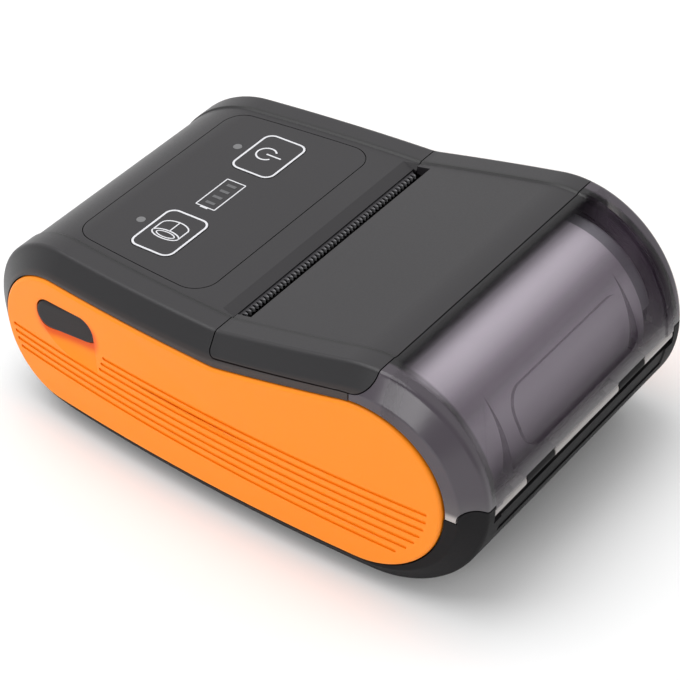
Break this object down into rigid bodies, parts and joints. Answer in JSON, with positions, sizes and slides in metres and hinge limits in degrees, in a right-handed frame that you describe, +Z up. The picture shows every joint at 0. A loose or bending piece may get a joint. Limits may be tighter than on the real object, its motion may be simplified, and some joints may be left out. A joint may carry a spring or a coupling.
{
  "type": "receipt printer",
  "caption": "Portable thermal receipt printer with a rounded charcoal case, orange side panels, a control panel, a tear bar and a hinged paper lid.",
  "frame": {"origin": "middle of the footprint, on the plane of the soles", "axes": "+X across the paper towards the release button side, +Y from the nose to the hinge end, +Z up"},
  "size_m": [0.0804, 0.1196, 0.0496],
  "materials": {
    "shell_plastic": "fine matte moulded texture, charcoal",
    "accent_plastic": "satin moulded, warm orange",
    "smoked_plastic": "translucent smoky moulding",
    "overlay_film": "fine matte film, charcoal",
    "key_plastic": "matte, charcoal",
    "button_plastic": "satin, near black",
    "lamp_plastic": "clear light pipe",
    "board_laminate": "green solder resist",
    "spring_steel": "plain steel",
    "dark_steel": "blackened steel",
    "zinc_plate": "zinc plated sheet",
    "black_plastic": "plain moulded, black",
    "gear_plastic": "natural acetal",
    "roller_rubber": "ground rubber",
    "sole_rubber": "moulded rubber",
    "heat_sink": "anodised, clear",
    "head_ceramic": "glazed plate on aluminium",
    "cell_wrap": "wrapped cell pack",
    "thermal_paper": "smooth white paper",
    "core_card": "wound card"
  },
  "bodies": {
    "base": {"lower_shell": "shell_plastic", "front_cover": "shell_plastic", "battery_cover": "shell_plastic", "side_panel_right": "accent_plastic", "side_panel_left": "accent_plastic", "control_panel": "overlay_film", "status_lights": "lamp_plastic", "main_board": "board_laminate", "key_switches": "black_plastic", "tear_bar": "dark_steel", "gear_axle": "spring_steel", "mechanism_frame": "zinc_plate", "thermal_head": "head_ceramic", "head_heat_sink": "heat_sink", "head_springs": "spring_steel", "stepper_motor": "zinc_plate", "paper_bin": "black_plastic", "battery_pack": "cell_wrap", "charging_socket": "spring_steel", "charging_board": "board_laminate", "rubber_feet": "sole_rubber", "case_screws": "spring_steel", "hinge_pins": "spring_steel"},
    "lid": {"lid_plate": "shell_plastic", "window_cover": "smoked_plastic", "platen_bracket": "black_plastic", "platen_bushes": "black_plastic"},
    "platen": {"platen_shaft": "spring_steel", "platen_roller": "roller_rubber", "platen_gear": "gear_plastic"},
    "idler": {"idler_gear": "gear_plastic"},
    "pinion": {"motor_pinion": "gear_plastic", "motor_shaft": "spring_steel"},
    "roll": {"paper_roll": "thermal_paper", "paper_core": "core_card"},
    "button": {"release_button": "button_plastic"},
    "slider": {"release_slider": "spring_steel"},
    "power": {"power_key": "key_plastic"},
    "feed": {"feed_key": "key_plastic"}
  },
  "joints": [
    {"name": "lid_hinge", "type": "hinge", "parent": "base", "child": "lid", "pos_m": [0, 0.05795, 0.0243], "axis": [-1, 0, 0], "range_deg": [0, 95]},
    {"name": "platen_spin", "type": "hinge", "parent": "lid", "child": "platen", "pos_m": [0, 0.0052, 0.03449], "axis": [1, 0, 0], "continuous": true},
    {"name": "idler_spin", "type": "hinge", "parent": "base", "child": "idler", "pos_m": [-0.0334, -0.0006, 0.02539], "axis": [1, 0, 0], "continuous": true},
    {"name": "pinion_spin", "type": "hinge", "parent": "base", "child": "pinion", "pos_m": [-0.0334, -0.0084, 0.02175], "axis": [1, 0, 0], "continuous": true},
    {"name": "roll_spin", "type": "hinge", "parent": "base", "child": "roll", "pos_m": [0, 0.03545, 0.0243], "axis": [1, 0, 0], "continuous": true},
    {"name": "button_press", "type": "slide", "parent": "base", "child": "button", "axis": [-1, 0, 0], "range_m": [0, 0.0016], "stiffness_N_per_m": 600, "springref_m": -0.001},
    {"name": "slider_travel", "type": "slide", "parent": "base", "child": "slider", "axis": [0, 1, 0], "range_m": [0, 0.0016]},
    {"name": "power_key_press", "type": "slide", "parent": "base", "child": "power", "axis": [0, 0, -1], "range_m": [0, 0.0005], "stiffness_N_per_m": 1500, "springref_m": -0.0005},
    {"name": "feed_key_press", "type": "slide", "parent": "base", "child": "feed", "axis": [0, 0, -1], "range_m": [0, 0.0005], "stiffness_N_per_m": 1500, "springref_m": -0.0005}
  ],
  "couplings": [
    {"joint": "idler_spin", "follows": "platen_spin", "ratio": -0.6875},
    {"joint": "pinion_spin", "follows": "platen_spin", "ratio": 2},
    {"joint": "roll_spin", "follows": "platen_spin", "ratio": 0.21429},
    {"joint": "slider_travel", "follows": "button_press", "ratio": 1}
  ]
}
